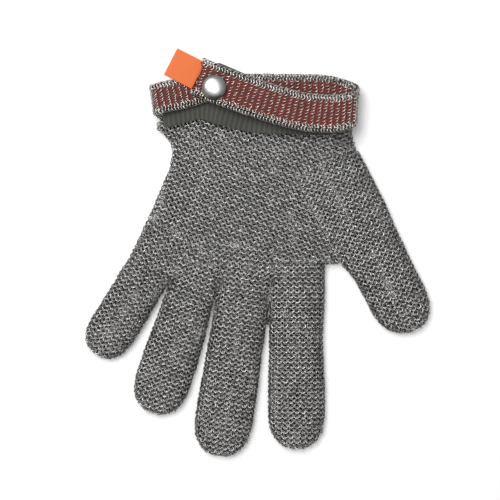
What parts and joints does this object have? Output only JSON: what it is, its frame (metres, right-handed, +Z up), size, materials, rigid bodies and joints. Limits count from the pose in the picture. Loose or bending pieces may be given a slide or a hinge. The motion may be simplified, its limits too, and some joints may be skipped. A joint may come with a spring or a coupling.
{
  "type": "chainmail glove",
  "caption": "Five-finger glove of fine linked steel rings, lying flat, with a mail-covered webbing wrist strap that closes with a press stud.",
  "frame": {"origin": "under the middle of the glove's box, on the surface on which it lies", "axes": "+Y from the fingertips to the wrist, +X towards the thumb, +Z up off the surface"},
  "size_m": [0.2294, 0.2704, 0.0248],
  "materials": {
    "steel_mail": "bright steel rings, salt and pepper",
    "red_webbing": "woven webbing",
    "grey_textile": "ribbed webbing",
    "satin_steel": "satin domed cap",
    "orange_tape": "smooth coated tape"
  },
  "bodies": {
    "root": {"mail_hand": "steel_mail", "strap_sleeve": "steel_mail", "strap_web": "red_webbing", "cuff_strip": "grey_textile", "closure_tongue": "grey_textile", "snap_cap": "satin_steel", "snap_backing": "satin_steel", "pull_tab": "orange_tape"}
  },
  "joints": []
}
